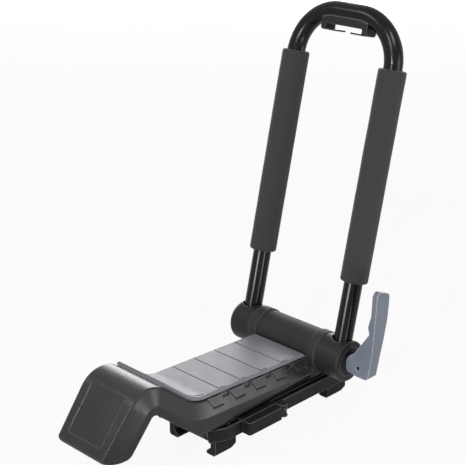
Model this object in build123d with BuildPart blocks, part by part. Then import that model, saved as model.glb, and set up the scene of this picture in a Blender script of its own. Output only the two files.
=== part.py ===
"""J-style kayak carrier: a hooked base on crossbar clamps, with a tube frame that folds on a hinge barrel.

Millimetres. The origin is the centre of the crossbar seat. +X runs along the crossbar to the nose,
+Y to the cam lever side, +Z up.
"""

import os
from math import cos, radians, sin, sqrt, tan

from build123d import *

# hinge barrel
hinge_x = -67.0
hinge_z = 56.0
barrel_r = 27.6
cheek_r = 29.2
cheek_inner = 47.0
cheek_outer = 61.0
saddle_half = 53.0
disc_r = 24.0
disc_thick = 1.2
knuckle_gap = 0.3
knuckle_r = 28.6
knuckle_length = 39.0
knuckle_round = 9.0
knuckle_edge = 2.5
rod_r = 5.0
rod_eye_r = 6.5
rod_eye_half = 4.6
nut_flats = 16.0
nut_thick = 8.0
cap_r = 15.0
cap_thick = 4.0
bush_r = 9.0
bush_length = 22.0

# clearances
run_clearance = 0.08
seat_clearance = 0.3

# tube frame
lean = 13.0
tube_r = 12.7
tube_wall = 1.6
tube_spacing = 167.2
frame_height = 455.0
bend_r = 63.5
socket_floor = 9.0
socket_mouth = 17.5
socket_gap = 2.4
foam_r = 19.0
foam_start = 107.0
foam_length = 285.0
foam_edge = 2.5
tube_screw_r = 2.5
tube_screw_height = 14.0
tube_screw_head_r = 4.5
tube_screw_head = 3.0

# base shell, along its top line from the hinge to the nose
tray_start_x = -47.0
tray_start_z = 53.4
tray_angle = 2.3
dip_r = 60.0
slope_angle = 39.6
arch_run = 111.1
arch_crest = 110.4
arch_r = 39.8
nose_angle = 51.6
nose_floor = 33.5
nose_corner = 6.0
nose_heel_round = 12.0
tray_half = 47.6
nose_half = 45.0
nose_tip_half = 42.0
flare = 8.6
crease_depth = 22.0
band_depth = 33.0
band_lap = 4.0
shell_wall = 3.0
top_round = 3.0
crease_round = 7.0
body_floor = 21.7
skirt_rise = 9.5
panel_width = 61.0
panel_depth = 1.2
panel_rise = 22.0
panel_corner = 4.0

# grip pad
pad_thick = 5.5
pad_inset = 0.4
pad_bevel = 2.6
pad_gap = 1.6
pad_overhang = 2.5
lip_turn = 2.5
groove_width = 1.8
groove_depth = 1.2
groove_first_x = 123.6
groove_pitch = 38.8
groove_count = 4
groove_end = 44.0
groove_hook = 11.0
border_y = 41.0

# pad clips on the flanks
clip_first_x = 136.5
clip_pitch = 39.5
clip_count = 5
clip_width = 26.0
clip_slant = 8.0
clip_height = 12.5
clip_thick = 1.2
slot_height = 1.8
slot_depth = 1.8
notch_width = 13.0
notch_height = 5.0
rib_x = -39.0
rib_lean = 19.0
rib_length = 22.0
rib_width = 2.0
rib_height = 1.0

# crossbar seat and chassis
chassis_reach = 131.0
seat_inset = 3.0
seat_width = 50.0
seat_thick = 3.0
chassis_half = 45.7
chassis_wall = 4.0
pocket_margin = 13.0
screw_back_x = -25.0
screw_front_x = 80.0
screw_y = 32.0
screw_r = 2.5
screw_head_r = 4.6
screw_head = 3.2
screw_depth = 14.0
boss_r = 6.5

# clamp rails and claws
rail_inner = 46.0
rail_outer = 58.3
rail_floor = -3.5
rail_rim = 14.4
rail_wall = 2.6
rail_inset = 3.0
scoop_length = 22.0
scoop_start = 4.5
scoop_bend = 14.0
scoop_heel = 5.0
scoop_lift = 15.0
claw_length = 38.0
claw_inset = 0.5
claw_inner = 34.5
claw_outer = 43.5
claw_lip = 7.5
claw_floor = -32.0
claw_toe = 4.0
claw_throat = -21.0
claw_edge = 2.5
claw_cut_length = 13.0
claw_cut_height = 6.5
liner_thick = 1.6
pin_r = 4.0
pin_height = 8.5
pin_reach = -30.0

# clamp lever and draw bolt
pivot_x = 25.0
pivot_y = 64.5
pivot_pin_r = 2.5
lug_r = 6.4
lug_plate = 1.8
lever_front = 71.8
lever_end = 95.5
lever_start = 8.0
lever_round = 3.0
bolt_r = 2.5
bolt_height = 7.7
bolt_eye_r = 5.4
bolt_end = -26.0
bolt_nut_r = 4.0

# cam lever
pin_y = 122.2
cam_pin_r = 3.0
cam_half = 13.0
cam_head_half = 9.0
cam_head_top = 20.0
cam_grip_low = 75.0
cam_reach = 20.3
cam_from = 112.0
cam_to = 208.0
cam_length = 121.5
cam_tip = 3.5
cam_corner = 7.0
cam_top_fall = 10.0
cam_back = 17.5
cam_heel = 12.6
heel_round = 5.5
heel_corner = 5.0
grip_in = 23.0
grip_out = 30.6
waist_in = 19.0
waist_height = 57.0
waist_out = 26.8
stop_in = 17.0
stop_height = 67.0
stop_end_in = 21.8
stop_end_height = 84.0
pin_recess = 1.0
fork_half = 5.3
fork_reach = 8.0
cam_seat_r = 20.0
cam_seat_thick = 3.0

# strap guide
guide_width = 78.0
guide_depth = 21.0
guide_drop = 15.0
guide_lap = 8.0
guide_slot_width = 62.0
guide_slot_height = 6.4
guide_wall = 2.2
guide_mouth = 25.0
guide_round = 4.0
rivet_r = 2.4
rivet_y = 13.0


def heading(degrees):
    """Unit vector in the XZ plane, turned up from +X."""
    return Vector(cos(radians(degrees)), 0, sin(radians(degrees)))


def across(point, up):
    """Plane square to the top line at a point: local x is +Y and local y points up out of the shell."""
    return Plane(origin=point, x_dir=(0, 1, 0), z_dir=Vector(0, 1, 0).cross(up))


def finish(part, name):
    """Label a finished piece and write it out."""
    part.label = name
    export_step(part, f"parts/{name}.step")


seat_length = 2 * (chassis_reach - seat_inset)
rail_front = chassis_reach - rail_inset
arch_x = chassis_reach + arch_run
rail_back = -rail_front
claw_stations = [chassis_reach - claw_inset - claw_length, claw_inset - chassis_reach]
pin_station = chassis_reach - claw_inset - claw_length / 2
screw_stations = [screw_back_x, screw_front_x]
pocket_spans = [
    (pocket_margin - pin_station, screw_back_x - pocket_margin),
    (screw_back_x + pocket_margin, screw_front_x - pocket_margin),
]

# top line of the shell: tray, dip, slope, arch and nose
tray_up = heading(90 + tray_angle)
slope_up = heading(90 + slope_angle)
nose_up = heading(90 - nose_angle)
arch_centre = Vector(arch_x, 0, arch_crest - arch_r)
tray_start = Vector(tray_start_x, 0, tray_start_z)
slope_top = arch_centre + slope_up * arch_r
nose_top = arch_centre + nose_up * arch_r
nose_face = (nose_top.Z - nose_floor) / sin(radians(nose_angle))
nose_low = nose_top + heading(-nose_angle) * (nose_face + band_depth)
slope_reach = slope_top.dot(slope_up) + dip_r
tray_reach = tray_start.dot(tray_up) + dip_r
turn = slope_up.X * tray_up.Z - slope_up.Z * tray_up.X
dip_centre = Vector(
    (slope_reach * tray_up.Z - tray_reach * slope_up.Z) / turn,
    0,
    (slope_up.X * tray_reach - tray_up.X * slope_reach) / turn,
)
dip_up = (slope_up + tray_up).normalized()
slope_low = dip_centre - slope_up * dip_r
tray_end = dip_centre - tray_up * dip_r
dip_middle = dip_centre - dip_up * dip_r
arch_middle = arch_centre + (slope_up + nose_up).normalized() * arch_r
body_half = tray_half + flare
nose_low_half = nose_half - (nose_half - nose_tip_half) * (nose_face + band_depth) / nose_face


def tray_point(x):
    """Point of the tray's top line above x."""
    return Vector(x, 0, tray_start_z + (x - tray_start_x) * tan(radians(tray_angle)))


def flank_plane(x, side):
    """Plane on the tray's flank below its top edge, facing out, with local y up the flank."""
    down = (Vector(0, side * flare, 0) - tray_up * crease_depth).normalized()
    along = heading(tray_angle) * -side
    return Plane(origin=tray_point(x) + Vector(0, side * tray_half, 0), x_dir=along, z_dir=down.cross(along))


# hinge and leaning frame
hinge = Vector(hinge_x, 0, hinge_z)
tube_up = heading(90 + lean)
tube_y = tube_spacing / 2
frame_plane = Plane(origin=hinge, x_dir=(0, 1, 0), z_dir=Vector(0, 1, 0).cross(tube_up))
knuckle_inner = cheek_outer + disc_thick + knuckle_gap
knuckle_outer = knuckle_inner + knuckle_length


def hinge_plane(y):
    """Plane square to the hinge axis at y, facing +Y."""
    return Plane(origin=(hinge_x, y, hinge_z), x_dir=(1, 0, 0), z_dir=(0, 1, 0))


def tube_plane(y, height):
    """Plane square to a tube at a height along the leaning frame, facing up the tube."""
    return Plane(origin=hinge + Vector(0, y, 0) + tube_up * height, x_dir=(0, 1, 0), z_dir=tube_up)


os.makedirs("parts", exist_ok=True)


# base shell
def shell_section(point, up, half, inset):
    """Section of the shell: flat top, flaring flank, crease and upright lower band."""
    wide = half + flare - inset
    depth = band_depth + inset / 6
    with BuildSketch(across(point, up)) as section:
        with BuildLine():
            Polyline(
                (inset - half, -inset),
                (half - inset, -inset),
                (wide, -crease_depth),
                (wide, -depth),
                (-wide, -depth),
                (-wide, -crease_depth),
                close=True,
            )
        make_face()
        fillet(section.vertices().group_by(Axis.Y)[-1], radius=top_round)
        fillet(section.vertices().filter_by(lambda v: abs(v.Y + crease_depth) < 0.01), radius=crease_round)
    return section.sketch


def shell_sections(inset):
    """Sections at the start of the tray, the foot and head of the slope, and the top and foot of the nose."""
    return [
        shell_section(tray_start, tray_up, tray_half, inset),
        shell_section(slope_low, slope_up, tray_half, inset),
        shell_section(slope_top, slope_up, nose_half, inset),
        shell_section(nose_top, nose_up, nose_half, inset),
        shell_section(nose_low, nose_up, nose_low_half, inset),
    ]


def add_shell_run(sections):
    """Run the section along the tray and dip, taper it up the slope, over the arch and down the nose."""
    sweep(sections=sections[0], path=tray_line.line)
    loft(sections=sections[1:3], ruled=True)
    sweep(sections=sections[2], path=arch_line.line)
    loft(sections=sections[3:], ruled=True)


def profile(points):
    """Closed side profile in the XZ plane from straight runs."""
    with BuildSketch(Plane.XZ) as outline:
        with BuildLine():
            Polyline(*[(point.X, point.Z) for point in points], close=True)
        make_face()
    return outline.sketch


def skirt_profile(shift):
    """Side profile below the band: an even lower edge, and a foot under the slope."""
    lap = band_depth - band_lap
    back = Vector(shift, 0, 0)
    tray = [tray_start - tray_up * lap, tray_end - tray_up * lap]
    dip = [dip_middle - dip_up * lap, slope_low - slope_up * lap]
    low = [under_low - back, skirt_tip - back, Vector(tray_start_x, 0, body_floor)]
    with BuildSketch(Plane.XZ) as outline:
        with BuildLine():
            Line(*[(point.X, point.Z) for point in tray])
            ThreePointArc(*[(point.X, point.Z) for point in [tray[1], *dip]])
            Polyline(*[(point.X, point.Z) for point in [dip[1], *low, tray[0]]])
        make_face()
    return outline.sketch


with BuildLine() as tray_line:
    Line(tray_start, tray_end)
    ThreePointArc(tray_end, dip_middle, slope_low)

with BuildLine() as arch_line:
    ThreePointArc(slope_top, arch_middle, nose_top)

under_low = slope_low - slope_up * band_depth
slope_fall = heading(slope_angle) * (1 / sin(radians(slope_angle)))
skirt_tip = under_low - slope_fall * (under_low.Z - body_floor)
foot_tip = under_low - slope_fall * under_low.Z
foot_shift = shell_wall / sin(radians(slope_angle))
foot_back = chassis_reach + seat_clearance
foot_half = rail_inner - 2 * seat_clearance

outer_sections = shell_sections(0)
inner_sections = shell_sections(shell_wall)
far_out = nose_low + Vector(band_depth, 0, 0)
nose_tip = nose_top + heading(-nose_angle) * nose_face
tip_run = nose_corner / tan(radians(nose_angle / 2))
tip_face = nose_tip - heading(-nose_angle) * tip_run
tip_sole = nose_tip - Vector(tip_run, 0, 0)
tip_centre = tip_sole + Vector(0, 0, nose_corner)
tip_middle = tip_centre + (nose_tip - tip_centre).normalized() * nose_corner
band_low = nose_top - nose_up * band_depth
nose_heel = band_low + heading(-nose_angle) * ((band_low.Z - nose_floor) / sin(radians(nose_angle)))
nose_heel_run = nose_heel_round * tan(radians(nose_angle / 2))
nose_heel_band = nose_heel - heading(-nose_angle) * nose_heel_run
nose_heel_sole = nose_heel + Vector(nose_heel_run, 0, 0)
nose_heel_centre = nose_heel_sole + Vector(0, 0, nose_heel_round)
nose_heel_middle = nose_heel_centre + (nose_heel - nose_heel_centre).normalized() * nose_heel_round
with BuildSketch(Plane.XZ) as below_nose:
    with BuildLine():
        ThreePointArc(*[(point.X, point.Z) for point in (tip_face, tip_middle, tip_sole)])
        Line((tip_sole.X, tip_sole.Z), (nose_heel_sole.X, nose_heel_sole.Z))
        ThreePointArc(*[(point.X, point.Z) for point in (nose_heel_sole, nose_heel_middle, nose_heel_band)])
        Polyline(
            (nose_heel_band.X, nose_heel_band.Z),
            (arch_x, nose_heel_band.Z),
            (arch_x, far_out.Z - band_depth),
            (far_out.X, far_out.Z - band_depth),
            (far_out.X, tip_face.Z),
            (tip_face.X, tip_face.Z),
        )
    make_face()
sole_top = nose_floor + 2 * shell_wall
below_sole = profile([
    Vector(arch_x, 0, sole_top), Vector(far_out.X, 0, sole_top),
    Vector(far_out.X, 0, far_out.Z - band_depth), Vector(arch_x, 0, far_out.Z - band_depth),
])
skirt_outer = skirt_profile(0)
skirt_inner = skirt_profile(foot_shift)
skirt_back = Vector(tray_start_x, 0, body_floor + skirt_rise)
drop = Vector(0, 0, skirt_rise + band_depth)
skirt_front = Vector(foot_back, 0, body_floor)
below_skirt = profile([skirt_back, skirt_front, skirt_front - drop, skirt_back - drop])
foot_outer = profile([skirt_tip, foot_tip, Vector(foot_back, 0, 0), skirt_front])
foot_inner = profile([
    skirt_tip - Vector(foot_shift, 0, 0), foot_tip + slope_fall * shell_wall - Vector(foot_shift, 0, 0),
    Vector(foot_back, 0, shell_wall), skirt_front,
])
saddle_profile = profile([
    Vector(hinge_x - barrel_r, 0, hinge_z), Vector(tray_start_x + shell_wall, 0, hinge_z),
    Vector(tray_start_x + shell_wall, 0, body_floor), Vector(hinge_x - barrel_r - shell_wall, 0, body_floor),
])

with BuildPart() as cavity:
    add_shell_run(inner_sections)
    extrude(below_sole, amount=body_half, both=True, mode=Mode.SUBTRACT)

with BuildPart() as base_shell:
    add_shell_run(outer_sections)
    extrude(below_nose.sketch, amount=2 * body_half, both=True, mode=Mode.SUBTRACT)
    extrude(skirt_outer, amount=body_half, both=True)
    add(cavity.part, mode=Mode.SUBTRACT)
    extrude(skirt_inner, amount=body_half - shell_wall, both=True, mode=Mode.SUBTRACT)
    extrude(below_skirt, amount=2 * body_half, both=True, mode=Mode.SUBTRACT)
    extrude(foot_outer, amount=foot_half, both=True)
    extrude(foot_inner, amount=foot_half - shell_wall, both=True, mode=Mode.SUBTRACT)
    # hinge barrel with its two cheeks on a saddle
    extrude(saddle_profile, amount=saddle_half, both=True)
    with BuildSketch(hinge_plane(-cheek_outer)):
        Circle(barrel_r)
    extrude(amount=2 * cheek_outer)
    for side in (-1, 1):
        with BuildSketch(hinge_plane(side * cheek_outer)):
            Circle(cheek_r)
        extrude(amount=-side * (cheek_outer - cheek_inner))
    # bosses for the chassis screws
    for station in screw_stations:
        with BuildSketch(Plane.XY.offset(body_floor)):
            with Locations((station, screw_y), (station, -screw_y)):
                Circle(boss_r)
        extrude(amount=tray_point(station).Z - shell_wall / 2 - body_floor)
        with BuildSketch(Plane.XY.offset(body_floor)):
            with Locations((station, screw_y), (station, -screw_y)):
                Circle(screw_r)
        extrude(amount=screw_depth, mode=Mode.SUBTRACT)
    with BuildSketch(hinge_plane(-cheek_outer)):
        Circle(bush_r)
    extrude(amount=2 * cheek_outer, mode=Mode.SUBTRACT)
    # shallow panel on the nose
    with BuildSketch(Plane(origin=nose_top, x_dir=(0, 1, 0), z_dir=nose_up)) as panel:
        with Locations((0, panel_rise - nose_face)):
            Rectangle(panel_width, nose_face, align=(Align.CENTER, Align.MIN))
        fillet(panel.vertices().group_by(Axis.Y)[0], radius=panel_corner)
    extrude(amount=-panel_depth, mode=Mode.SUBTRACT)
    # leaning rib in front of each cheek, slots below the pad clips and notches between them
    for side in (-1, 1):
        with BuildSketch(flank_plane(rib_x, side)):
            Rectangle(rib_width, rib_length, rotation=side * rib_lean, align=(Align.CENTER, Align.MAX))
        extrude(amount=rib_height)
        for i in range(clip_count):
            with BuildSketch(flank_plane(clip_first_x - i * clip_pitch, side)):
                with Locations((side * clip_slant / 2, -clip_height - slot_height / 2)):
                    Rectangle(clip_width - clip_slant, slot_height)
                if i < clip_count - 1:
                    with Locations((side * clip_pitch / 2, -notch_height / 2)):
                        Rectangle(notch_width, notch_height)
            extrude(amount=-slot_depth, mode=Mode.SUBTRACT)

finish(base_shell.part, "base_shell")


# grip pad
def pad_section(point, up, half):
    """Section of the pad on the shell's top, with bevelled shoulders over a shadow gap."""
    edge = half - pad_inset
    foot = edge - pad_overhang
    with BuildSketch(across(point, up)) as section:
        with BuildLine():
            Polyline(
                (-foot, 0),
                (foot, 0),
                (foot, pad_gap),
                (edge, pad_gap),
                (edge, pad_thick - pad_bevel),
                (edge - pad_bevel, pad_thick),
                (pad_bevel - edge, pad_thick),
                (-edge, pad_thick - pad_bevel),
                (-edge, pad_gap),
                (-foot, pad_gap),
                close=True,
            )
        make_face()
    return section.sketch


pad_start = tray_point(hinge_x + cheek_r + seat_clearance)
lip_point = arch_centre + heading(90 + slope_angle - lip_turn) * arch_r
lip_middle = arch_centre + heading(90 + slope_angle - lip_turn / 2) * arch_r
pad_low = pad_section(pad_start, tray_up, tray_half)
pad_foot = pad_section(slope_low, slope_up, tray_half)
pad_head = pad_section(slope_top, slope_up, nose_half)

with BuildLine() as pad_line:
    Line(pad_start, tray_end)
    ThreePointArc(tray_end, dip_middle, slope_low)

with BuildLine() as lip_line:
    ThreePointArc(slope_top, lip_middle, lip_point)

pad_tail = pad_start + tray_up * pad_thick
tail_bevel = profile([pad_tail, pad_tail - tray_up * pad_bevel, pad_tail + heading(tray_angle) * pad_bevel])
border_points = [
    point + up * pad_thick + Vector(0, border_y, 0)
    for point, up in ((tray_end, tray_up), (dip_middle, dip_up), (slope_low, slope_up), (slope_top, slope_up))
]

with BuildLine() as border_line:
    ThreePointArc(*border_points[:3])
    Line(*border_points[2:])

with BuildSketch(across(border_points[0], tray_up)) as border_section:
    Rectangle(groove_width, 2 * groove_depth)

with BuildPart() as grip_pad:
    sweep(sections=pad_low, path=pad_line.line)
    loft(sections=[pad_foot, pad_head], ruled=True)
    sweep(sections=pad_head, path=lip_line.line)
    extrude(tail_bevel, amount=tray_half, both=True, mode=Mode.SUBTRACT)
    sweep(sections=border_section.sketch, path=border_line.line, mode=Mode.SUBTRACT)
    for i in range(groove_count):
        station = tray_point(groove_first_x - i * groove_pitch) + tray_up * pad_thick
        with BuildSketch(Plane(origin=station, x_dir=heading(tray_angle), z_dir=tray_up)):
            with Locations((0, groove_end)):
                Rectangle(groove_width, groove_end + tray_half, align=(Align.CENTER, Align.MAX))
                Rectangle(groove_hook, groove_width, align=(Align.MAX, Align.MAX))
        extrude(amount=-groove_depth, mode=Mode.SUBTRACT)

finish(grip_pad.part, "grip_pad")

with BuildPart() as pad_clips:
    for side in (-1, 1):
        for i in range(clip_count):
            with BuildSketch(flank_plane(clip_first_x - i * clip_pitch, side)):
                with BuildLine():
                    Polyline(
                        (side * clip_width / 2, 0),
                        (-side * clip_width / 2, 0),
                        (side * (clip_slant - clip_width / 2), -clip_height),
                        (side * clip_width / 2, -clip_height),
                        close=True,
                    )
                make_face()
            extrude(amount=clip_thick)

finish(pad_clips.part, "pad_clips")

# chassis, crossbar seat and their screws
rim_back = Vector(tray_start_x + 2 * shell_wall, 0, body_floor)
rim_rise = Vector(0, 0, skirt_rise - shell_wall)
rim_profile = profile([rim_back, Vector(chassis_reach, 0, body_floor), rim_back + rim_rise])

with BuildPart() as chassis:
    with BuildSketch(Plane.XY.offset(seat_thick)):
        Rectangle(2 * chassis_reach, 2 * chassis_half)
    extrude(amount=body_floor - seat_thick)
    for side in (-1, 1):
        rim_plane = Plane.XZ.offset(-side * chassis_half)
        extrude(rim_profile.moved(Location(rim_plane.origin)), amount=side * chassis_wall)
    for start, end in pocket_spans:
        with BuildSketch(Plane.XY.offset(body_floor)):
            for side in (-1, 1):
                with Locations(((start + end) / 2, side * (chassis_half - chassis_wall))):
                    Rectangle(
                        end - start,
                        chassis_half - 2 * chassis_wall,
                        align=(Align.CENTER, Align.MAX if side > 0 else Align.MIN),
                    )
        extrude(amount=seat_thick + chassis_wall - body_floor, mode=Mode.SUBTRACT)
    with BuildSketch(Plane.XZ.offset(-chassis_half)):
        with Locations((pin_station, pin_height), (-pin_station, pin_height)):
            Circle(pin_r + run_clearance)
        with Locations((pivot_x, bolt_height)):
            Circle(bolt_r + seat_clearance)
    extrude(amount=2 * chassis_half, mode=Mode.SUBTRACT)
    with BuildSketch(Plane.XZ):
        with Locations((pivot_x, bolt_height)):
            Circle(bolt_nut_r)
    extrude(amount=chassis_wall, both=True, mode=Mode.SUBTRACT)
    with Locations(Plane.XY.offset(seat_thick).rotated((180, 0, 0))):
        with Locations([(x, y) for x in screw_stations for y in (-screw_y, screw_y)]):
            CounterBoreHole(screw_r + seat_clearance, screw_head_r + seat_clearance, screw_head)

finish(chassis.part, "chassis")

with BuildPart() as bar_pad:
    with BuildSketch():
        Rectangle(seat_length, seat_width)
    extrude(amount=seat_thick)

finish(bar_pad.part, "bar_pad")

with BuildPart() as chassis_screws:
    for station in screw_stations:
        for side in (-1, 1):
            with BuildSketch(Plane.XY.offset(seat_thick)):
                with Locations((station, side * screw_y)):
                    Circle(screw_head_r)
            extrude(amount=screw_head)
            with BuildSketch(Plane.XY.offset(seat_thick + screw_head)):
                with Locations((station, side * screw_y)):
                    Circle(screw_r)
            extrude(amount=body_floor + screw_depth - 2 * seat_thick - screw_head)

finish(chassis_screws.part, "chassis_screws")


# clamp rails
def rail_plan(inner, inset):
    """Plan of a rail: a long trough with a tapered scoop at the nose end."""
    with BuildSketch(Plane.XY.offset(rail_floor + inset)) as plan:
        with BuildLine():
            Polyline(
                (rail_back, inner),
                (rail_front + scoop_length, inner),
                (rail_front - scoop_start, rail_outer),
                (rail_back, rail_outer),
                close=True,
            )
        make_face()
        bend = plan.vertices().group_by(Axis.Y)[-1].sort_by(Axis.X)[-1]
        fillet(bend, radius=scoop_bend)
        if inset:
            offset(amount=-inset, mode=Mode.REPLACE)
    return plan.sketch


def claw_section(station, inner):
    """Section of a claw: a flange under the rail and a hook with an inward lip."""
    flange = rail_floor + rail_wall
    lip = claw_inner - claw_lip
    with BuildSketch(Plane.YZ.offset(station)) as section:
        with BuildLine():
            Polyline(
                (inner + rail_wall, flange),
                (claw_inner, flange),
                (claw_inner, claw_throat),
                (lip, claw_floor + claw_toe),
                (lip, claw_floor + claw_edge / 2),
                (lip + claw_edge / 2, claw_floor),
                (claw_outer - claw_edge, claw_floor),
                (claw_outer, claw_floor + claw_edge),
                (claw_outer, rail_floor),
                (inner + rail_wall, rail_floor),
                close=True,
            )
        make_face()
    return section.sketch


def claw_corner(station):
    """Side view of the bevel at a claw's lower back corner."""
    with BuildSketch(Plane.XZ.offset(-rail_inner)) as corner:
        with BuildLine():
            Polyline(
                (station, claw_floor),
                (station + claw_cut_length, claw_floor),
                (station, claw_floor + claw_cut_height),
                close=True,
            )
        make_face()
    return corner.sketch


def add_rail(inner):
    """Trough, scoop and claws of a rail on the +Y side."""
    extrude(rail_plan(inner, 0), amount=rail_rim - rail_floor)
    extrude(rail_plan(inner, rail_wall), amount=rail_rim - rail_floor, mode=Mode.SUBTRACT)
    extrude(scoop_bevel, amount=-rail_outer, mode=Mode.SUBTRACT)
    for station in claw_stations:
        extrude(claw_section(station, inner), amount=claw_length)
        extrude(claw_corner(station), amount=rail_inner, mode=Mode.SUBTRACT)


scoop_tip = rail_front + scoop_length
scoop_bevel = profile([
    Vector(scoop_tip - scoop_heel, 0, rail_floor), Vector(scoop_tip, 0, rail_floor + scoop_lift),
    Vector(scoop_tip, 0, rail_floor),
])
lever_top = rail_rim
lug_low = rail_floor + lug_plate
lug_high = lever_top - lug_plate
lever_inner = rail_outer + seat_clearance
lever_head = pivot_x + lever_start

with BuildPart() as near_rail:
    add_rail(rail_inner)
    # solid stretch of the trough behind the clamp lever
    with BuildSketch(Plane.XY.offset(rail_floor)):
        with Locations((lever_end, rail_inner)):
            Rectangle(lever_end - lever_head, rail_outer - rail_inner, align=(Align.MAX, Align.MIN))
    extrude(amount=rail_rim - rail_floor)
    # pivot lug of the clamp lever
    with BuildSketch(Plane.XY.offset(rail_floor)):
        with Locations((pivot_x, pivot_y)):
            Circle(lug_r)
            Rectangle(2 * lug_r, pivot_y - rail_outer + rail_wall, align=(Align.CENTER, Align.MAX))
    extrude(amount=lever_top - rail_floor)
    with BuildSketch(Plane.XY.offset(lug_low)):
        with Locations((pivot_x, rail_outer)):
            Rectangle(3 * lug_r, 3 * lug_r, align=(Align.CENTER, Align.MIN))
    extrude(amount=lug_high - lug_low, mode=Mode.SUBTRACT)
    with BuildSketch(Plane.XY.offset(rail_floor)):
        with Locations((pivot_x, pivot_y)):
            Circle(pivot_pin_r)
    extrude(amount=lever_top - rail_floor, mode=Mode.SUBTRACT)
    # holes for the draw bolt and the guide pins
    with BuildSketch(Plane.XZ.offset(-rail_outer)):
        with Locations((pivot_x, bolt_height)):
            Circle(bolt_r + seat_clearance)
    extrude(amount=rail_outer - rail_inner, mode=Mode.SUBTRACT)
    with BuildSketch(Plane.XZ.offset(-rail_inner - rail_wall)):
        with Locations((pin_station, pin_height), (-pin_station, pin_height)):
            Circle(pin_r)
    extrude(amount=rail_wall, mode=Mode.SUBTRACT)

finish(near_rail.part, "near_rail")

with BuildPart() as far_rail:
    add_rail(chassis_half)
    with BuildSketch(Plane.XZ.offset(-chassis_half - rail_wall)):
        with Locations((pin_station, pin_height), (-pin_station, pin_height)):
            Circle(screw_r)
    extrude(amount=rail_wall, mode=Mode.SUBTRACT)
    mirror(about=Plane.XZ, mode=Mode.REPLACE)

finish(far_rail.part, "far_rail")


def claw_liner_part(side):
    """Rubber facings on the inner faces of one rail's claws."""
    with BuildPart() as liners:
        for station in claw_stations:
            with BuildSketch(Plane.XZ.offset(-side * claw_inner)):
                with Locations((station + claw_length / 2, (claw_throat + rail_floor) / 2)):
                    Rectangle(claw_length - 2 * claw_edge, rail_floor - claw_throat)
            extrude(amount=side * liner_thick)
    return liners.part


finish(claw_liner_part(1), "near_claw_liners")
finish(claw_liner_part(-1), "far_claw_liners")

with BuildPart() as guide_pins:
    with BuildSketch(Plane.XZ.offset(-rail_inner - rail_wall)):
        with Locations((pin_station, pin_height), (-pin_station, pin_height)):
            Circle(pin_r)
    extrude(amount=rail_inner + rail_wall - pin_reach)

finish(guide_pins.part, "guide_pins")

with BuildPart() as far_rail_screws:
    for station in (pin_station, -pin_station):
        with BuildSketch(Plane.XZ.offset(chassis_half + rail_wall)):
            with Locations((station, pin_height)):
                Circle(screw_head_r)
        extrude(amount=screw_head)
        with BuildSketch(Plane.XZ.offset(chassis_half + rail_wall)):
            with Locations((station, pin_height)):
                Circle(screw_r)
        extrude(amount=-screw_depth)

finish(far_rail_screws.part, "far_rail_screws")

# clamp lever on its pin, with the draw bolt
tongue_low = lug_low + seat_clearance
tongue_high = bolt_height - bolt_r - seat_clearance

with BuildPart() as clamp_lever:
    with BuildSketch(Plane.XY.offset(rail_floor)) as lever_plan:
        with BuildLine():
            Polyline(
                (lever_head, lever_inner),
                (lever_end, lever_inner),
                (lever_end, lever_front),
                (lever_head, lever_front),
                close=True,
            )
        make_face()
        fillet(lever_plan.vertices().group_by(Axis.Y)[-1], radius=lever_round)
    extrude(amount=lever_top - rail_floor)
    with BuildSketch(Plane.XY.offset(tongue_low)):
        with Locations((pivot_x, pivot_y)):
            Circle(bolt_eye_r)
            Rectangle(lever_start + lever_round, 2 * bolt_eye_r, align=(Align.MIN, Align.CENTER))
    extrude(amount=tongue_high - tongue_low)
    with BuildSketch(Plane.XY.offset(rail_floor)):
        with Locations((pivot_x, pivot_y)):
            Circle(pivot_pin_r + run_clearance)
    extrude(amount=lever_top - rail_floor, mode=Mode.SUBTRACT)

finish(clamp_lever.part, "clamp_lever")

with BuildPart() as clamp_lever_pin:
    with BuildSketch(Plane.XY.offset(rail_floor)):
        with Locations((pivot_x, pivot_y)):
            Circle(pivot_pin_r)
    extrude(amount=lever_top - rail_floor)

finish(clamp_lever_pin.part, "clamp_lever_pin")

with BuildPart() as draw_bolt:
    with BuildSketch(Plane.XZ.offset(-pivot_y)):
        with Locations((pivot_x, bolt_height)):
            Circle(bolt_r)
    extrude(amount=pivot_y - bolt_end)
    with BuildSketch(Plane.XY.offset(bolt_height - bolt_r)):
        with Locations((pivot_x, pivot_y)):
            Circle(bolt_eye_r)
    extrude(amount=2 * bolt_r)
    with BuildSketch(Plane.XY.offset(bolt_height - bolt_r)):
        with Locations((pivot_x, pivot_y)):
            Circle(pivot_pin_r)
    extrude(amount=2 * bolt_r, mode=Mode.SUBTRACT)

finish(draw_bolt.part, "draw_bolt")

with BuildPart() as draw_nut:
    with BuildSketch(Plane.XZ):
        with Locations((pivot_x, bolt_height)):
            Circle(bolt_nut_r)
            Circle(bolt_r + run_clearance, mode=Mode.SUBTRACT)
    extrude(amount=chassis_wall, both=True)

finish(draw_nut.part, "draw_nut")


# tube frame
with BuildLine(frame_plane) as frame_line:
    rise = frame_height - bend_r
    run = tube_y - bend_r
    bend = bend_r / sqrt(2)
    Line((-tube_y, socket_floor), (-tube_y, rise))
    ThreePointArc((-tube_y, rise), (-run - bend, rise + bend), (-run, frame_height))
    Line((-run, frame_height), (run, frame_height))
    ThreePointArc((run, frame_height), (run + bend, rise + bend), (tube_y, rise))
    Line((tube_y, rise), (tube_y, socket_floor))

with BuildSketch(tube_plane(-tube_y, socket_floor)) as tube_ring:
    Circle(tube_r)
    Circle(tube_r - tube_wall, mode=Mode.SUBTRACT)

with BuildSketch(tube_plane(-tube_y, socket_floor)) as tube_disc:
    Circle(tube_r)


def rear_plane(y, depth):
    """Plane behind a tube at the screw height, facing back along the screw."""
    return Plane(
        origin=hinge + Vector(0, y, 0) + tube_up * tube_screw_height - frame_plane.z_dir * depth,
        x_dir=(0, 1, 0),
        z_dir=-frame_plane.z_dir,
    )


screw_seat = sqrt(knuckle_r**2 - tube_screw_height**2) - tube_screw_head

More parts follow.
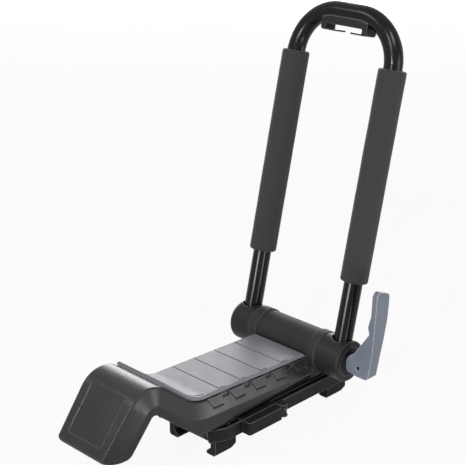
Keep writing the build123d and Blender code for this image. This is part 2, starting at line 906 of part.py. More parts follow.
with BuildPart() as upright_tube:
    sweep(sections=tube_ring.sketch, path=frame_line.line)
    for side in (-1, 1):
        with BuildSketch(rear_plane(side * tube_y, 0)):
            Circle(tube_screw_r)
        extrude(amount=tube_r, mode=Mode.SUBTRACT)
        with BuildSketch(tube_plane(side * rivet_y, frame_height - tube_r)):
            Circle(rivet_r)
        extrude(amount=tube_r, mode=Mode.SUBTRACT)

finish(upright_tube.part, "upright_tube")


def foam_part(side):
    """Foam sleeve on one leg of the frame."""
    with BuildPart() as foam:
        with BuildSketch(tube_plane(side * tube_y, foam_start)):
            Circle(foam_r)
        extrude(amount=foam_length)
        fillet(foam.edges(), radius=foam_edge)
        with BuildSketch(tube_plane(side * tube_y, foam_start)):
            Circle(tube_r + run_clearance)
        extrude(amount=foam_length, mode=Mode.SUBTRACT)
    return foam.part


finish(foam_part(-1), "foam_left")
finish(foam_part(1), "foam_right")


def disc(plane, radius):
    """Round sketch on a plane."""
    with BuildSketch(plane) as outline:
        Circle(radius)
    return outline.sketch


def add_knuckle(side, rounding):
    """Hinge knuckle with a socket for the tube and a bore for the hinge rod."""
    inner_plane = hinge_plane(side * knuckle_inner)
    socket_plane = tube_plane(side * tube_y, socket_floor)
    extrude(disc(inner_plane, knuckle_r), amount=side * knuckle_length)
    outer_face = faces().sort_by(Axis.Y)[-1 if side > 0 else 0]
    fillet(outer_face.edges(), radius=rounding)
    extrude(disc(socket_plane, tube_r), amount=2 * knuckle_r, mode=Mode.SUBTRACT)
    mouth_plane = tube_plane(side * tube_y, socket_mouth)
    extrude(disc(mouth_plane, tube_r + socket_gap), amount=2 * knuckle_r, mode=Mode.SUBTRACT)
    extrude(disc(inner_plane, rod_r + run_clearance), amount=side * knuckle_length, mode=Mode.SUBTRACT)
    extrude(disc(rear_plane(side * tube_y, 0), tube_screw_r), amount=knuckle_r, mode=Mode.SUBTRACT)
    head_plane = rear_plane(side * tube_y, screw_seat)
    extrude(disc(head_plane, tube_screw_head_r), amount=knuckle_r, mode=Mode.SUBTRACT)


nut_outer = knuckle_outer - cap_thick

with BuildPart() as knuckle_left:
    add_knuckle(-1, knuckle_round)
    with BuildSketch(hinge_plane(-knuckle_outer)):
        Circle(cap_r)
    extrude(amount=cap_thick, mode=Mode.SUBTRACT)
    with BuildSketch(hinge_plane(-nut_outer)):
        RegularPolygon(nut_flats / 2, 6, major_radius=False)
    extrude(amount=nut_thick, mode=Mode.SUBTRACT)

finish(knuckle_left.part, "knuckle_left")

with BuildPart() as knuckle_right:
    add_knuckle(1, knuckle_edge)
    with BuildSketch(hinge_plane(knuckle_outer)):
        Circle(cam_seat_r + run_clearance)
    extrude(amount=-cam_seat_thick, mode=Mode.SUBTRACT)

finish(knuckle_right.part, "knuckle_right")

with BuildPart() as left_end_cap:
    with BuildSketch(hinge_plane(-nut_outer)):
        Circle(cap_r)
    extrude(amount=-cap_thick)

finish(left_end_cap.part, "left_end_cap")

with BuildPart() as rod_nut:
    with BuildSketch(hinge_plane(-nut_outer)):
        RegularPolygon(nut_flats / 2, 6, major_radius=False)
        Circle(rod_r, mode=Mode.SUBTRACT)
    extrude(amount=nut_thick)

finish(rod_nut.part, "rod_nut")

with BuildPart() as hinge_rod:
    with BuildSketch(hinge_plane(-nut_outer)):
        Circle(rod_r)
    extrude(amount=nut_outer + pin_y - cam_pin_r)
    with BuildSketch(Plane.YZ.offset(hinge_x - rod_eye_half)):
        with Locations((pin_y, hinge_z)):
            Circle(rod_eye_r)
    extrude(amount=2 * rod_eye_half)
    with BuildSketch(Plane.YZ.offset(hinge_x - rod_r)):
        with Locations((pin_y, hinge_z)):
            Circle(cam_pin_r + run_clearance)
    extrude(amount=2 * rod_r, mode=Mode.SUBTRACT)

finish(hinge_rod.part, "hinge_rod")


def ring_part(start, length, outer, inner):
    """Plain ring on the hinge axis."""
    with BuildPart() as ring:
        with BuildSketch(hinge_plane(start)):
            Circle(outer)
            Circle(inner, mode=Mode.SUBTRACT)
        extrude(amount=length)
    return ring.part


rod_bore = rod_r + run_clearance
finish(ring_part(-cheek_outer, bush_length, bush_r, rod_bore), "hinge_bush_left")
finish(ring_part(cheek_outer, -bush_length, bush_r, rod_bore), "hinge_bush_right")
finish(ring_part(-cheek_outer, -disc_thick, disc_r, rod_bore), "friction_disc_left")
finish(ring_part(cheek_outer, disc_thick, disc_r, rod_bore), "friction_disc_right")
finish(ring_part(knuckle_outer, -cam_seat_thick, cam_seat_r, rod_bore), "cam_seat")

with BuildPart() as tube_screws:
    for side in (-1, 1):
        with BuildSketch(rear_plane(side * tube_y, screw_seat)):
            Circle(tube_screw_head_r)
        extrude(amount=tube_screw_head - seat_clearance)
        with BuildSketch(rear_plane(side * tube_y, screw_seat)):
            Circle(tube_screw_r)
        extrude(amount=tube_r / 2 - screw_seat)

finish(tube_screws.part, "tube_screws")

# strap guide under the bend
guide_top = frame_height - tube_r + guide_lap
guide_low = frame_height - tube_r - guide_drop
slot_low = guide_low + guide_wall

with BuildPart() as strap_guide:
    with BuildSketch(frame_plane.offset(-guide_depth / 2)) as guide_face:
        with Locations((0, guide_low)):
            Rectangle(guide_width, guide_top - guide_low, align=(Align.CENTER, Align.MIN))
        fillet(guide_face.vertices().group_by(Axis.Y)[0], radius=guide_round)
    extrude(amount=guide_depth)
    with BuildSketch(frame_plane.offset(-guide_depth / 2)) as slot_face:
        with Locations((0, slot_low)):
            Rectangle(guide_slot_width, guide_slot_height, align=(Align.CENTER, Align.MIN))
        fillet(slot_face.vertices(), radius=guide_slot_height / 3)
        with Locations((0, guide_low)):
            Rectangle(guide_mouth, guide_wall + guide_slot_height / 2, align=(Align.CENTER, Align.MIN))
    extrude(amount=guide_depth, mode=Mode.SUBTRACT)
    sweep(sections=tube_disc.sketch, path=frame_line.line, mode=Mode.SUBTRACT)
    for side in (-1, 1):
        with BuildSketch(tube_plane(side * rivet_y, slot_low + guide_slot_height)):
            Circle(rivet_r)
        extrude(amount=guide_drop, mode=Mode.SUBTRACT)

finish(strap_guide.part, "strap_guide")

with BuildPart() as strap_guide_rivets:
    for side in (-1, 1):
        with BuildSketch(tube_plane(side * rivet_y, slot_low + guide_slot_height)):
            Circle(rivet_r)
        extrude(amount=frame_height - tube_r + 2 * tube_wall - slot_low - guide_slot_height)

finish(strap_guide_rivets.part, "strap_guide_rivets")


# cam lever
def cam_point(across_pin, above_pin):
    """Point in the lever's plane, from its pin."""
    return (pin_y + across_pin, hinge_z + above_pin)


def cam_rim(degrees):
    """Point on the round cam nose about the pin."""
    return cam_point(cam_reach * cos(radians(degrees)), cam_reach * sin(radians(degrees)))


with BuildPart() as cam_lever:
    with BuildSketch(Plane.YZ.offset(hinge_x - cam_half)):
        grip_height = cam_length - cam_tip
        heel_turn = heel_round * (1 - sqrt(0.5))
        with BuildLine():
            ThreePointArc(cam_rim(cam_to), cam_rim((cam_from + cam_to) / 2), cam_rim(cam_from))
            Polyline(
                cam_rim(cam_from),
                cam_point(waist_in, waist_height),
                cam_point(stop_in, stop_height),
                cam_point(stop_end_in, stop_end_height),
                cam_point(grip_in, grip_height),
            )
            ThreePointArc(
                cam_point(grip_in, grip_height),
                cam_point((grip_in + grip_out) / 2, cam_length),
                cam_point(grip_out, grip_height),
            )
            Spline(
                cam_point(grip_out, grip_height),
                cam_point(waist_out, waist_height),
                cam_point(cam_back, heel_round - cam_heel),
            )
            ThreePointArc(
                cam_point(cam_back, heel_round - cam_heel),
                cam_point(cam_back - heel_turn, heel_turn - cam_heel),
                cam_point(cam_back - heel_round, -cam_heel),
            )
            Polyline(
                cam_point(cam_back - heel_round, -cam_heel),
                cam_point(0, -cam_heel),
                cam_rim(cam_to),
            )
        make_face()
    extrude(amount=2 * cam_half)
    with BuildSketch(Plane.XZ) as cam_taper:
        with BuildLine():
            Polyline(
                (hinge_x - cam_head_half, hinge_z - cam_heel),
                (hinge_x + cam_head_half, hinge_z - cam_heel),
                (hinge_x + cam_head_half, hinge_z + cam_head_top),
                (hinge_x + cam_half, hinge_z + cam_grip_low),
                (hinge_x + cam_half, hinge_z + cam_length),
                (hinge_x - cam_half, hinge_z + cam_length - cam_top_fall),
                (hinge_x - cam_half, hinge_z + cam_grip_low),
                (hinge_x - cam_head_half, hinge_z + cam_head_top),
                close=True,
            )
        make_face()
        by_height = cam_taper.vertices().sort_by(Axis.Y)
        fillet(by_height[-2:], radius=cam_corner)
        fillet(by_height[:2], radius=heel_corner)
    extrude(amount=-2 * pin_y, mode=Mode.INTERSECT)
    # fork for the eye of the hinge rod, open where the rod swings
    with BuildSketch(Plane.YZ.offset(hinge_x - fork_half)):
        with Locations(cam_point(0, 0)):
            Circle(fork_reach)
            Rectangle(2 * cam_reach, 2 * fork_reach, align=(Align.MAX, Align.CENTER))
            Rectangle(2 * fork_reach, 2 * cam_reach, align=(Align.CENTER, Align.MAX))
            Rectangle(2 * cam_reach, 2 * cam_reach, align=(Align.MAX, Align.MAX))
    extrude(amount=2 * fork_half, mode=Mode.SUBTRACT)
    with BuildSketch(Plane.YZ.offset(hinge_x - cam_half)):
        with Locations(cam_point(0, 0)):
            Circle(cam_pin_r)
    extrude(amount=2 * cam_half, mode=Mode.SUBTRACT)

finish(cam_lever.part, "cam_lever")

with BuildPart() as lever_pin:
    pin_half = cam_head_half - pin_recess
    with BuildSketch(Plane.YZ.offset(hinge_x - pin_half)):
        with Locations(cam_point(0, 0)):
            Circle(cam_pin_r)
    extrude(amount=2 * pin_half)

finish(lever_pin.part, "lever_pin")
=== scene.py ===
"""Looks of the J-style kayak carrier: materials, nose corners, foam sleeves, studio and camera."""

from math import cos, pi, radians, sin

import bpy
import bmesh
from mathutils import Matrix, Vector, noise


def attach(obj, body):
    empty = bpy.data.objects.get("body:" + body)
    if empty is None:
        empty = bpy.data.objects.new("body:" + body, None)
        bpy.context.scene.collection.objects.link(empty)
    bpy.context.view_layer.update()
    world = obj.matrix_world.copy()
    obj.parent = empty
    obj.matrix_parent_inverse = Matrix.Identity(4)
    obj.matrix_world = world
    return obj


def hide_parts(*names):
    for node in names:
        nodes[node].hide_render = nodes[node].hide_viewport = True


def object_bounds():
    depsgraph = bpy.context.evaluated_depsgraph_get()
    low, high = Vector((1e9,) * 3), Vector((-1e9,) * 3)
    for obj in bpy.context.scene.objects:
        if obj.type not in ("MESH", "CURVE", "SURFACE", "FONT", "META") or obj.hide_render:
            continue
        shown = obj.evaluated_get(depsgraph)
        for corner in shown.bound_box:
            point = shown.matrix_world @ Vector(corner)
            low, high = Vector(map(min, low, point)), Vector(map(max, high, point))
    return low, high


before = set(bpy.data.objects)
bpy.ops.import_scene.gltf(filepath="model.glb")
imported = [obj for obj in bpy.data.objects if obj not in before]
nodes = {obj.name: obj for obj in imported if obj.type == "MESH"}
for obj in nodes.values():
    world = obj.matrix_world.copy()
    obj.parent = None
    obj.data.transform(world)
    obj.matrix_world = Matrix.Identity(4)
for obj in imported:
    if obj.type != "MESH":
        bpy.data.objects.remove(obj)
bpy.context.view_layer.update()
scene = bpy.context.scene


def linear(value):
    """Scene value of a display value from 0 to 255."""
    value /= 255
    return value / 12.92 if value <= 0.04045 else ((value + 0.055) / 1.055) ** 2.4


def colour(red, green, blue):
    """Scene colour of three display values."""
    return (linear(red), linear(green), linear(blue), 1.0)


# materials, with lengths in metres and noise scales in cells per metre
noise_low, noise_high = 0.3, 0.7  # most values of a noise lie between these
ray_samples = 12  # rays of an edge mask or a rounded edge
fine = 0.0001  # depth of the finest grain
coarse = 0.0002  # depth of rubber grain and foam pores


class Tree:
    """A node tree, with short calls that add nodes and feed their sockets."""

    def __init__(self, tree):
        self.tree = tree

    def add(self, kind, **settings):
        node = self.tree.nodes.new(kind)
        for key, value in settings.items():
            setattr(node, key, value)
        return node

    def feed(self, value, socket):
        """Set the socket to a constant, or link it to another node's output."""
        if isinstance(value, (float, int, tuple)):
            socket.default_value = value
        else:
            self.tree.links.new(value, socket)

    def calc(self, operation, first, second):
        node = self.add("ShaderNodeMath", operation=operation)
        self.feed(first, node.inputs[0])
        self.feed(second, node.inputs[1])
        return node.outputs[0]

    def span(self, source, low, high, first, last):
        """Carry the range from low to high over to the range from first to last."""
        span = self.add("ShaderNodeMapRange")
        sockets = {
            "Value": source, "From Min": low, "From Max": high, "To Min": first, "To Max": last}
        for socket, value in sockets.items():
            self.feed(value, span.inputs[socket])
        return span.outputs["Result"]

    def shown(self):
        """One for rays from the camera, in reflections and through glass, and zero for others."""
        path = self.add("ShaderNodeLightPath").outputs
        seen = self.calc("MAXIMUM", path["Is Camera Ray"], path["Is Glossy Ray"])
        return self.calc("MAXIMUM", seen, path["Is Transmission Ray"])


class Maker(Tree):
    """A material with a principled shader and short calls for the nodes around it."""

    def __init__(self, name, **sockets):
        self.material = bpy.data.materials.new(name)
        self.material.use_nodes = True
        super().__init__(self.material.node_tree)
        self.shader = self.tree.nodes["Principled BSDF"]
        for socket, value in sockets.items():
            self.shader.inputs[socket.replace("_", " ")].default_value = value
        self.place = self.add("ShaderNodeTexCoord").outputs["Object"]

    def noise(self, scale, detail=2.0, rough=0.5, stretch=None):
        texture = self.add("ShaderNodeTexNoise")
        texture.inputs["Scale"].default_value = scale
        texture.inputs["Detail"].default_value = detail
        texture.inputs["Roughness"].default_value = rough
        source = self.place
        if stretch:
            mapping = self.add("ShaderNodeMapping")
            mapping.inputs["Scale"].default_value = stretch
            self.feed(source, mapping.inputs["Vector"])
            source = mapping.outputs["Vector"]
        self.feed(source, texture.inputs["Vector"])
        return texture.outputs["Fac"]

    def axis(self, letter):
        """The place along one axis."""
        split = self.add("ShaderNodeSeparateXYZ")
        self.feed(self.place, split.inputs["Vector"])
        return split.outputs[letter]

    def vary(self, source, first, last):
        """A noise spread over the range from first to last."""
        return self.span(source, noise_low, noise_high, first, last)

    def drift(self, source, dark, light, low=noise_low, high=noise_high):
        """A noise as a drift between two colours."""
        ramp = self.add("ShaderNodeValToRGB")
        start, end = ramp.color_ramp.elements
        start.position, start.color = low, dark
        end.position, end.color = high, light
        self.feed(source, ramp.inputs["Fac"])
        return ramp.outputs["Color"]

    def blend(self, factor, first, second):
        mix = self.add("ShaderNodeMix", data_type="RGBA")
        for socket, value in {"Factor": factor, "A": first, "B": second}.items():
            self.feed(value, mix.inputs[socket])
        return mix.outputs["Result"]

    def grained(self, dark, light):
        """Paint of moulded plastic, a slow drift with a fine spark grain, and the grain itself."""
        drift = self.drift(self.noise(18, 3), dark, light, low=0.35, high=0.65)
        speck = self.noise(1600, 1)
        return self.blend(self.span(speck, 0.45, 0.75, 0.0, 0.25), drift, light), speck

    def near(self, reach, inside, low, high):
        """Mask of convex edges by short rays inside the surface, or of recesses by rays outside."""
        rays = self.add("ShaderNodeAmbientOcclusion", inside=inside, samples=ray_samples)
        rays.inputs["Distance"].default_value = reach
        return self.span(rays.outputs["AO"], low, high, 0.0, 1.0)

    def edge_light_corner_shade(self, paint, edge_highlight, corner_shade, reach):
        """Paint with painted highlights along convex edges and painted shade in corners."""
        # the pale edge colour is a painted highlight and the dark corner colour is painted shade
        edges = self.near(reach, True, low=0.93, high=0.55)
        corners = self.near(2 * reach, False, low=0.95, high=0.5)
        patchy = self.vary(self.noise(140, 3), 0.75, 1.0)
        corner_shaded = self.blend(corners, paint, corner_shade)
        return self.blend(self.calc("MULTIPLY", edges, patchy), corner_shaded, edge_highlight)

    def bumps(self, layers, edge):
        """Bump layers, each (height, strength, distance), over edges rounded to a radius."""
        normal = None
        if edge:
            bevel = self.add("ShaderNodeBevel", samples=ray_samples)
            bevel.inputs["Radius"].default_value = edge
            normal = bevel.outputs["Normal"]
        for height, strength, distance in layers:
            bump = self.add("ShaderNodeBump")
            bump.inputs["Strength"].default_value = strength
            bump.inputs["Distance"].default_value = distance
            self.feed(height, bump.inputs["Height"])
            if normal:
                self.feed(normal, bump.inputs["Normal"])
            normal = bump.outputs["Normal"]
        self.feed(normal, self.shader.inputs["Normal"])

    def paint(self, source):
        self.feed(source, self.shader.inputs["Base Color"])

    def roughen(self, source):
        self.feed(source, self.shader.inputs["Roughness"])


def moulded(name, dark, light, edge_highlight, rough, gloss=0.12, edge=0.0012):
    """Moulded plastic with a fine grain and softly rounded edges, with painted highlights along its
    edges and painted shade in its corners.
    """
    make = Maker(name, Specular_IOR_Level=gloss)
    paint, speck = make.grained(dark, light)
    # the edge colour is a painted highlight and the near-black corner colour is painted shade
    make.paint(make.edge_light_corner_shade(paint, edge_highlight, corner_shade=colour(12, 12, 12), reach=0.0012))
    make.roughen(make.vary(make.noise(55, 4), *rough))
    make.bumps([(speck, 0.1, fine)], edge)
    return make.material


# the shell is dull behind the barrel's front and satin ahead of the tray's end
barrel_front, tray_end = -0.042, -0.03
barrel_rough = 0.7


def base_plastic_material():
    """Black moulded shell, satin along the tray and arch and dull on the hinge barrel."""
    make = Maker("base_plastic", Specular_IOR_Level=0.2)
    paint, speck = make.grained(colour(30, 30, 31), colour(36, 36, 37))
    # pale edges are painted highlights and the near-black corners are painted shade
    make.paint(make.edge_light_corner_shade(paint, colour(70, 70, 72), corner_shade=colour(6, 6, 6), reach=0.0016))
    satin = make.vary(make.noise(55, 4), 0.25, 0.32)
    make.roughen(make.span(make.axis("X"), barrel_front, tray_end, barrel_rough, satin))
    make.bumps([(speck, 0.06, fine)], edge=0.003)
    return make.material


# heights between which the lever's grip lines set in
grip_start, grip_full = 0.122, 0.126


def lever_plastic_material():
    """Blue-grey filled nylon with fine grip lines across the upper half of the lever."""
    make = Maker("lever_plastic", Specular_IOR_Level=0.2)
    paint, speck = make.grained(colour(88, 93, 102), colour(96, 102, 111))
    # pale edges are painted highlights and the darker corners are painted shade
    make.paint(make.edge_light_corner_shade(paint, colour(148, 153, 160), corner_shade=colour(70, 74, 80), reach=0.0014))
    make.roughen(make.vary(make.noise(55, 4), 0.36, 0.46))
    bands = make.add("ShaderNodeTexWave", bands_direction="Z")
    bands.inputs["Scale"].default_value = 80
    make.feed(make.place, bands.inputs["Vector"])
    upper = make.span(make.axis("Z"), grip_start, grip_full, 0.0, 1.0)
    lines = make.calc("MULTIPLY", bands.outputs["Fac"], upper)
    make.bumps([(speck, 0.1, fine), (lines, 0.35, 0.0003)], edge=0.0022)
    return make.material


def pad_rubber_material():
    """Grey grip pad: a leathery moulded grain whose highs are a paler grey."""
    make = Maker("pad_rubber", Specular_IOR_Level=0.26)
    grain = make.noise(900, 3, 0.6)
    drift = make.drift(make.noise(14, 3), colour(89, 89, 94), colour(98, 98, 103))
    make.paint(make.blend(make.span(grain, 0.4, 0.7, 0.0, 0.35), drift, colour(112, 112, 117)))
    make.roughen(make.vary(make.noise(60, 3), 0.42, 0.5))
    make.bumps([(grain, 0.13, coarse)], edge=0.0008)
    return make.material


def black_rubber_material():
    """Dull black rubber of the crossbar seat and the claws' liners."""
    make = Maker("black_rubber", Specular_IOR_Level=0.35)
    grain = make.noise(1200, 2)
    make.paint(make.drift(make.noise(30, 3), colour(22, 22, 22), colour(31, 31, 31)))
    make.roughen(make.vary(grain, 0.7, 0.85))
    make.bumps([(grain, 0.2, coarse)], edge=0.0006)
    return make.material


def tube_material():
    """Gloss black powder coat with a faint orange-peel surface."""
    make = Maker("tube_paint", Specular_IOR_Level=0.17)
    peel = make.noise(420, 2)
    make.paint(make.drift(make.noise(25, 3), colour(5, 5, 5), colour(8, 8, 8)))
    make.roughen(make.vary(make.noise(90, 3), 0.2, 0.23))
    make.bumps([(peel, 0.003, fine)], edge=None)
    return make.material


def foam_material():
    """Closed-cell foam: matte charcoal skin with fine pores and faint rubbed patches."""
    make = Maker("sleeve_foam", Specular_IOR_Level=0.25, Sheen_Weight=0.12, Sheen_Roughness=0.5)
    pores = make.add("ShaderNodeTexVoronoi")
    pores.inputs["Scale"].default_value = 1300
    make.feed(make.place, pores.inputs["Vector"])
    cells = pores.outputs["Distance"]
    patches = make.noise(22, 4, 0.6)
    drift = make.drift(patches, colour(30, 30, 30), colour(37, 37, 37))
    # the pits of the pores are painted darker, as painted shade
    make.paint(make.blend(make.span(cells, 0.0, 0.35, 0.5, 0.0), drift, colour(23, 23, 23)))
    make.roughen(make.vary(patches, 0.78, 0.9))
    make.bumps([(make.noise(160, 3), 0.12, 0.0006), (cells, 0.3, coarse)], edge=None)
    return make.material


def steel_material(name, dark, light):
    """Plated steel with fine turned lines."""
    make = Maker(name, Metallic=1.0)
    lines = make.noise(700, 2, stretch=(1, 8, 1))
    make.paint(make.drift(make.noise(40, 3), dark, light))
    make.roughen(make.vary(lines, 0.24, 0.4))
    make.bumps([(lines, 0.06, fine)], edge=0.0004)
    return make.material


base_plastic = base_plastic_material()
# the third colour of each moulded plastic is its painted edge highlight
knuckle_plastic = moulded(
    "knuckle_plastic", colour(28, 28, 29), colour(34, 34, 35), colour(86, 86, 88),
    rough=(0.34, 0.42), gloss=0.11)
# rails, chassis and clamp lever are a darker copy of the charcoal plastic, painted darker as
# painted shade under the shell
rail_plastic = moulded(
    "rail_plastic", colour(21, 21, 22), colour(27, 27, 28), colour(92, 92, 94),
    rough=(0.4, 0.5), gloss=0.07)
guide_plastic = moulded(
    "guide_plastic", colour(24, 24, 25), colour(30, 30, 31), colour(70, 70, 71),
    rough=(0.34, 0.44), edge=0.0008)
clip_plastic = moulded(
    "clip_plastic", colour(33, 33, 34), colour(39, 39, 40), colour(80, 80, 82),
    rough=(0.25, 0.32), gloss=0.2, edge=0.0006)
bearing_plastic = moulded(
    "bearing_plastic", colour(20, 20, 21), colour(28, 28, 29), colour(60, 60, 61),
    rough=(0.5, 0.6))
lever_plastic = lever_plastic_material()
pad_rubber = pad_rubber_material()
black_rubber = black_rubber_material()
tube_paint = tube_material()
sleeve_foam = foam_material()
zinc_steel = steel_material("zinc_steel", colour(176, 176, 174), colour(200, 200, 197))
black_steel = steel_material("black_steel", colour(52, 52, 54), colour(66, 66, 68))

finishes = {
    base_plastic: ["base_shell"],
    knuckle_plastic: ["knuckle_left", "knuckle_right", "left_end_cap"],
    rail_plastic: ["chassis", "near_rail", "far_rail", "clamp_lever"],
    guide_plastic: ["strap_guide"],
    clip_plastic: ["pad_clips"],
    bearing_plastic: [
        "hinge_bush_left", "hinge_bush_right", "friction_disc_left", "friction_disc_right",
        "cam_seat"],
    lever_plastic: ["cam_lever"],
    pad_rubber: ["grip_pad"],
    black_rubber: ["bar_pad", "near_claw_liners", "far_claw_liners"],
    tube_paint: ["upright_tube"],
    sleeve_foam: ["foam_left", "foam_right"],
    zinc_steel: [
        "hinge_rod", "rod_nut", "draw_nut", "chassis_screws", "far_rail_screws", "guide_pins"],
    black_steel: [
        "lever_pin", "draw_bolt", "clamp_lever_pin", "tube_screws", "strap_guide_rivets"],
}
for material, names in finishes.items():
    for name in names:
        mesh = nodes[name].data
        mesh.materials.clear()
        mesh.materials.append(material)


def linked(name, data):
    """An object of the scene with the given data."""
    made = bpy.data.objects.new(name, data)
    scene.collection.objects.link(made)
    return made


def solid(name, mesh):
    """Mesh data from a bmesh with its faces turned outwards. The bmesh is freed."""
    bmesh.ops.recalc_face_normals(mesh, faces=mesh.faces)
    data = bpy.data.meshes.new(name)
    mesh.to_mesh(data)
    mesh.free()
    return data


# shell with the lower corners of its nose rounded, which the solid leaves square
nose_tip = Vector((0.32229, 0, 0.0335))
nose_angle = radians(51.6)
nose_fall = Vector((cos(nose_angle), 0, -sin(nose_angle)))
nose_out = Vector((sin(nose_angle), 0, cos(nose_angle)))
tip_half = 0.0421  # half the width of the nose at its tip
tip_end = -0.0064  # lower end of the nose, along its fall from the tip
flank_flare = 0.391  # how fast the nose widens with depth
nose_taper = 0.038  # how fast it narrows along its fall
corner_r = 0.009
corner_steps = 12
cutter_spare = 0.02  # reach of a cutter past the corner
cutter_depths = (-0.012, 0.03)  # from outside the nose's face to inside its end
weld = 0.000001
sharp_angle = radians(22)


def corner_cutter(side):
    """Prism along the flank at a lower corner of the nose, hollowed to the corner's radius."""
    far_across, far_along = tip_half + cutter_spare, tip_end + cutter_spare
    section = [
        (far_across, tip_end - corner_r),
        (far_across, far_along),
        (tip_half - corner_r, far_along),
    ]
    for i in range(corner_steps + 1):
        turn = pi / 2 * (1 - i / corner_steps)
        across = tip_half + corner_r * (cos(turn) - 1)
        along = tip_end + corner_r * (sin(turn) - 1)
        section.append((across, along))
    mesh = bmesh.new()
    ends = []
    for depth in cutter_depths:
        ring = []
        for across, along in section:
            out = side * (across + flank_flare * depth - nose_taper * along)
            place = nose_tip + nose_fall * along - nose_out * depth + Vector((0, out, 0))
            ring.append(mesh.verts.new(place))
        ends.append(ring)
        mesh.faces.new(ring)
    for i in range(len(section)):
        follow = (i + 1) % len(section)
        mesh.faces.new((ends[0][i], ends[0][follow], ends[1][follow], ends[1][i]))
    return linked("corner_cutter", solid("corner_cutter", mesh))


def settled(piece):
    """Give the piece the mesh that its modifiers make, and take the modifiers off."""
    evaluated = piece.evaluated_get(bpy.context.evaluated_depsgraph_get())
    made = bpy.data.meshes.new_from_object(evaluated)
    piece.modifiers.clear()
    piece.data = made


def rounded_shell():
    """Welded copy of the shell's mesh with the nose's lower corners cut round."""
    welded = bmesh.new()
    welded.from_mesh(nodes["base_shell"].data)
    bmesh.ops.remove_doubles(welded, verts=welded.verts, dist=weld)
    data = bpy.data.meshes.new("shell_skin")
    welded.to_mesh(data)
    welded.free()
    data.materials.append(base_plastic)
    if "custom_normal" in data.attributes:
        data.attributes.remove(data.attributes["custom_normal"])
    shell = linked("shell_skin", data)
    cutters = [corner_cutter(side) for side in (-1, 1)]
    for cutter in cutters:
        cut = shell.modifiers.new("corner", "BOOLEAN")
        cut.object = cutter
        cut.operation = "DIFFERENCE"
        cut.solver = "EXACT"
    settled(shell)
    for cutter in cutters:
        bpy.data.objects.remove(cutter)
    for face in shell.data.polygons:
        face.use_smooth = True
    shell.data.set_sharp_from_angle(angle=sharp_angle)
    weighted = shell.modifiers.new("normals", "WEIGHTED_NORMAL")
    weighted.keep_sharp = True
    settled(shell)
    return shell


shell = rounded_shell()
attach(shell, "base")
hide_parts("base_shell")


# foam sleeves
hinge = Vector((-0.067, 0, 0.056))
lean = radians(13)
tube_up = Vector((-sin(lean), 0, cos(lean)))
tube_front = Vector((cos(lean), 0, sin(lean)))
tube_y = 0.0836
tube_r = 0.0127
foam_start = 0.107  # from the hinge, along the tube
foam_length = 0.285
foam_r = 0.019
bore_r = tube_r + 0.0002
# radius and height of the soft rim, from the bore outwards
rim = [(bore_r, 0.0), (0.0152, 0.0), (0.0172, 0.0003), (0.0184, 0.0011), (0.0189, 0.0024)]
rim_height = 0.006
wall_steps = 60
sleeve_sides = 72
wave_round, wave_along, wave_shift = 1.2, 26, 7  # waves of the uneven wall
wave_height = 0.00022
ripple_scale, ripple_height = 3.1, 0.00012
wall_inset = 0.00012  # keeps the waves near the plain radius
even_r = tube_r + 0.001  # up to this radius, at the bore, the foam stays even


def foam_radius(radius, angle, height, side):
    """Radius of a sleeve at a place, faintly uneven outside the bore."""
    if radius <= even_r:
        return radius
    spot = Vector((cos(angle) * wave_round, sin(angle) * wave_round,
                   height * wave_along + side * wave_shift))
    ripple = ripple_height * noise.noise(spot * ripple_scale)
    return radius + (wave_height * noise.noise(spot) + ripple) - wall_inset


def foam_sleeve(name, side):
    """Pushed-on foam sleeve: faintly uneven round wall, soft rims and a snug bore."""
    wall_height = foam_length - 2 * rim_height
    profile = list(rim)
    for i in range(wall_steps + 1):
        profile.append((foam_r, rim_height + wall_height * i / wall_steps))
    profile += [(radius, foam_length - height) for radius, height in reversed(rim)]
    mesh = bmesh.new()
    rings = []
    for radius, height in profile:
        centre = hinge + Vector((0, side * tube_y, 0)) + tube_up * (foam_start + height)
        ring = []
        for i in range(sleeve_sides):
            angle = 2 * pi * i / sleeve_sides
            grown = foam_radius(radius, angle, height, side)
            front = tube_front * (cos(angle) * grown)
            ring.append(mesh.verts.new(centre + front + Vector((0, sin(angle) * grown, 0))))
        rings.append(ring)
    for lower, upper in zip(rings, rings[1:] + rings[:1]):
        for i in range(sleeve_sides):
            follow = (i + 1) % sleeve_sides
            mesh.faces.new((lower[i], lower[follow], upper[follow], upper[i]))
    data = solid(name, mesh)
    data.materials.append(sleeve_foam)
    for face in data.polygons:
        face.use_smooth = True
    return linked(name, data)


for name, side, node in (("sleeve_left", -1, "foam_left"), ("sleeve_right", 1, "foam_right")):
    sleeve = foam_sleeve(name, side)
    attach(sleeve, "upright")
    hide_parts(node)


# studio
floor_size = 30
floor_dark, floor_light = (0.34, 0.34, 0.34, 1), (0.38, 0.38, 0.38, 1)
white_share = 0.93  # the rest of what the camera sees of the floor is the lit floor with its shadow
room_dim, room_white = 0.12, 1.0


def floor_material():
    """Pale floor that shows white to the camera and keeps the object's shadow."""
    make = Maker("floor", Roughness=0.9, Specular_IOR_Level=0.1)
    make.paint(make.drift(make.noise(3, 2), floor_dark, floor_light))
    glow = make.add("ShaderNodeEmission")
    mix = make.add("ShaderNodeMixShader")
    make.feed(make.calc("MULTIPLY", make.shown(), white_share), mix.inputs["Fac"])
    make.feed(make.shader.outputs["BSDF"], mix.inputs[1])
    make.feed(glow.outputs["Emission"], mix.inputs[2])
    make.feed(mix.outputs["Shader"], make.tree.nodes["Material Output"].inputs["Surface"])
    return make.material


floor_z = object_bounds()[0][2]
bpy.ops.mesh.primitive_plane_add(size=floor_size, location=(0, 0, floor_z))
floor = bpy.context.object
floor.name = "floor"
floor.data.materials.append(floor_material())

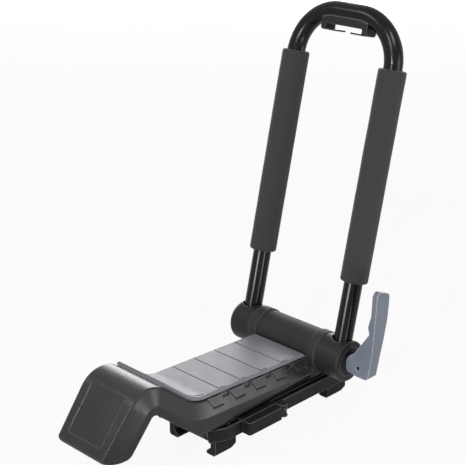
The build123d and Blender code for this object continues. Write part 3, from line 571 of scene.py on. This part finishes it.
# dim room that shows white to the camera and in reflections
world = bpy.data.worlds.new("studio")
scene.world = world
world.use_nodes = True
sky = Tree(world.node_tree)
background = world.node_tree.nodes["Background"]
background.inputs["Color"].default_value = (1, 1, 1, 1)
sky.feed(sky.span(sky.shown(), 0.0, 1.0, room_dim, room_white), background.inputs["Strength"])


def softbox(name, place, target, size, power):
    """Rectangular area light aimed at a point, kept out of the picture."""
    light = bpy.data.lights.new(name, "AREA")
    light.shape = "RECTANGLE"
    light.size, light.size_y = size
    light.energy = power
    lamp = linked(name, light)
    lamp.location = place
    aim = Vector(target) - Vector(place)
    lamp.rotation_euler = aim.to_track_quat("-Z", "Y").to_euler()
    lamp.visible_camera = False


# name, place, target, width and height, watts
softbox("key_top", (1.25, 0.27, 1.5), (0.05, 0.0, 0.1), (0.5, 0.5), 11)
softbox("front_strip", (1.75, 0.03, 0.18), (-0.1, 0.0, 0.13), (0.5, 0.25), 17)
softbox("back_low", (-2.41, -2.25, 0.45), (0.0, 0.0, 0.2), (4.2, 0.6), 48)
softbox("back_high", (-2.41, -2.25, 1.3), (0.0, 0.0, 0.2), (4.2, 1.0), 84)
softbox("right_high", (0.2, 0.9, 1.7), (0.0, 0.0, 0.1), (0.5, 0.5), 12)
softbox("left_high", (1.2, -1.0, 1.5), (0.0, 0.0, 0.1), (0.5, 0.5), 8)
softbox("edge_key", (1.51, 0.55, 1.0), (0.2, 0.0, 0.08), (0.16, 0.16), 12)
softbox("side_fill", (-0.3, 0.75, 0.5), (0.0, 0.05, 0.05), (0.4, 0.3), 1.7)
softbox("right_back", (-0.64, 1.04, 0.12), (0.08, 0.055, 0.04), (0.25, 0.2), 2.1)
softbox("low_right", (0.085, 0.65, 0.05), (-0.1, 0.084, 0.12), (0.22, 0.16), 1.6)

# camera at the photograph's angle
look_down = 20.887
heading = 134.63
camera_data = bpy.data.cameras.new("camera")
camera_data.lens = 96.9
camera_data.sensor_width = 36
camera = linked("camera", camera_data)
camera.location = (1.1189, 1.0503, 0.8182)
camera.rotation_euler = (radians(90 - look_down), 0, radians(heading))
scene.camera = camera
scene.view_settings.view_transform = "Standard"
